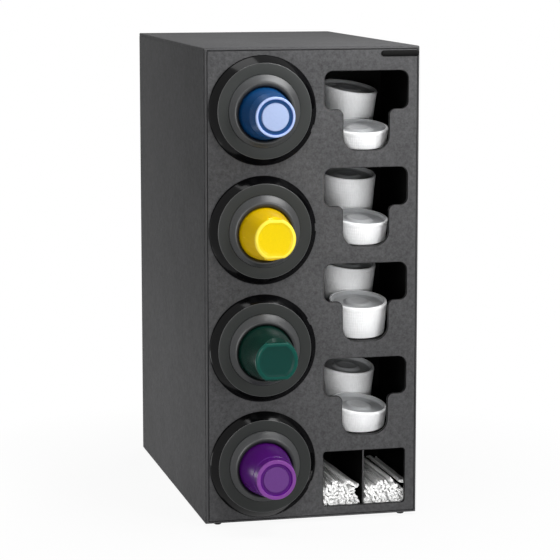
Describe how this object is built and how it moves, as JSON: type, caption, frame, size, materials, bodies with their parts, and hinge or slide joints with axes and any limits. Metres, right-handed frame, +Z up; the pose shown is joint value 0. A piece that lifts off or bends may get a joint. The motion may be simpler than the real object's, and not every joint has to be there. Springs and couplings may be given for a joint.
{
  "type": "countertop cup dispenser",
  "caption": "Tall black countertop cabinet with a column of sprung cup tubes behind twist-lock collars, beside a column of T-shaped lid bays over a divided straw bin.",
  "frame": {"origin": "on the counter, midway between the two sides and midway between the foremost cup and the back of the cabinet", "axes": "+Z up, +X to the right as seen by the person taking a cup, +Y to the back; the cups point along -Y"},
  "size_m": [0.378, 0.73, 0.825],
  "materials": {
    "cabinet_sheet": "hair-cell textured black sheet",
    "inner_sheet": "smooth black sheet",
    "tube_plastic": "smooth black",
    "collar_plastic": "polished side, satin face",
    "diaphragm_rubber": "satin black rubber",
    "cup_blue": "satin, ribbed side",
    "cup_purple": "glossy",
    "cup_yellow": "satin",
    "cup_green": "satin",
    "pusher_plastic": "moulded grey",
    "spring_steel": "drawn wire",
    "lid_plastic": "translucent white, fluted skirt",
    "straw_wrap": "thin white paper wrap",
    "foot_rubber": "matt black rubber"
  },
  "bodies": {
    "root": {"front_panel": "cabinet_sheet", "bay_frame_1": "cabinet_sheet", "bay_frame_2": "cabinet_sheet", "bay_frame_3": "cabinet_sheet", "bay_frame_4": "cabinet_sheet", "straw_frame": "cabinet_sheet", "top_panel": "cabinet_sheet", "left_side_panel": "cabinet_sheet", "right_side_panel": "cabinet_sheet", "bottom_panel": "cabinet_sheet", "rear_panel": "cabinet_sheet", "partition_panel": "inner_sheet", "bay_back_panel": "inner_sheet", "straw_divider": "inner_sheet", "lid_shelf_1": "inner_sheet", "lid_shelf_2": "inner_sheet", "lid_shelf_3": "inner_sheet", "lid_shelf_4": "inner_sheet", "tube_1": "tube_plastic", "diaphragm_1": "diaphragm_rubber", "spring_1": "spring_steel", "tube_2": "tube_plastic", "diaphragm_2": "diaphragm_rubber", "spring_2": "spring_steel", "tube_3": "tube_plastic", "diaphragm_3": "diaphragm_rubber", "spring_3": "spring_steel", "tube_4": "tube_plastic", "diaphragm_4": "diaphragm_rubber", "spring_4": "spring_steel", "front_lids": "lid_plastic", "rear_lids": "lid_plastic", "left_straws": "straw_wrap", "right_straws": "straw_wrap", "rubber_feet": "foot_rubber"},
    "collar_1": {"collar_1": "collar_plastic"},
    "cup_1": {"cup_1": "cup_blue"},
    "feed_1": {"pusher_1": "pusher_plastic", "cup_stack_1": "cup_blue"},
    "collar_2": {"collar_2": "collar_plastic"},
    "cup_2": {"cup_2": "cup_yellow"},
    "feed_2": {"pusher_2": "pusher_plastic", "cup_stack_2": "cup_yellow"},
    "collar_3": {"collar_3": "collar_plastic"},
    "cup_3": {"cup_3": "cup_green"},
    "feed_3": {"pusher_3": "pusher_plastic", "cup_stack_3": "cup_green"},
    "collar_4": {"collar_4": "collar_plastic"},
    "cup_4": {"cup_4": "cup_purple"},
    "feed_4": {"pusher_4": "pusher_plastic", "cup_stack_4": "cup_purple"}
  },
  "joints": [
    {"name": "collar_twist_1", "type": "hinge", "parent": "root", "child": "collar_1", "pos_m": [-0.089, -0.257, 0.719], "axis": [0, -1, 0], "range_deg": [0, 35]},
    {"name": "cup_pull_1", "type": "slide", "parent": "root", "child": "cup_1", "axis": [0, -1, 0], "range_m": [0, 0.15], "deforming": ["diaphragm_1"]},
    {"name": "feed_1", "type": "slide", "parent": "root", "child": "feed_1", "axis": [0, 1, 0], "range_m": [0, 0.3], "stiffness_N_per_m": 12, "springref_m": -0.3, "deforming": ["spring_1"]},
    {"name": "collar_twist_2", "type": "hinge", "parent": "root", "child": "collar_2", "pos_m": [-0.089, -0.257, 0.515], "axis": [0, -1, 0], "range_deg": [0, 35]},
    {"name": "cup_pull_2", "type": "slide", "parent": "root", "child": "cup_2", "axis": [0, -1, 0], "range_m": [0, 0.15], "deforming": ["diaphragm_2"]},
    {"name": "feed_2", "type": "slide", "parent": "root", "child": "feed_2", "axis": [0, 1, 0], "range_m": [0, 0.3], "stiffness_N_per_m": 12, "springref_m": -0.3, "deforming": ["spring_2"]},
    {"name": "collar_twist_3", "type": "hinge", "parent": "root", "child": "collar_3", "pos_m": [-0.089, -0.257, 0.311], "axis": [0, -1, 0], "range_deg": [0, 35]},
    {"name": "cup_pull_3", "type": "slide", "parent": "root", "child": "cup_3", "axis": [0, -1, 0], "range_m": [0, 0.15], "deforming": ["diaphragm_3"]},
    {"name": "feed_3", "type": "slide", "parent": "root", "child": "feed_3", "axis": [0, 1, 0], "range_m": [0, 0.3], "stiffness_N_per_m": 12, "springref_m": -0.3, "deforming": ["spring_3"]},
    {"name": "collar_twist_4", "type": "hinge", "parent": "root", "child": "collar_4", "pos_m": [-0.089, -0.257, 0.107], "axis": [0, -1, 0], "range_deg": [0, 35]},
    {"name": "cup_pull_4", "type": "slide", "parent": "root", "child": "cup_4", "axis": [0, -1, 0], "range_m": [0, 0.15], "deforming": ["diaphragm_4"]},
    {"name": "feed_4", "type": "slide", "parent": "root", "child": "feed_4", "axis": [0, 1, 0], "range_m": [0, 0.3], "stiffness_N_per_m": 12, "springref_m": -0.3, "deforming": ["spring_4"]}
  ]
}
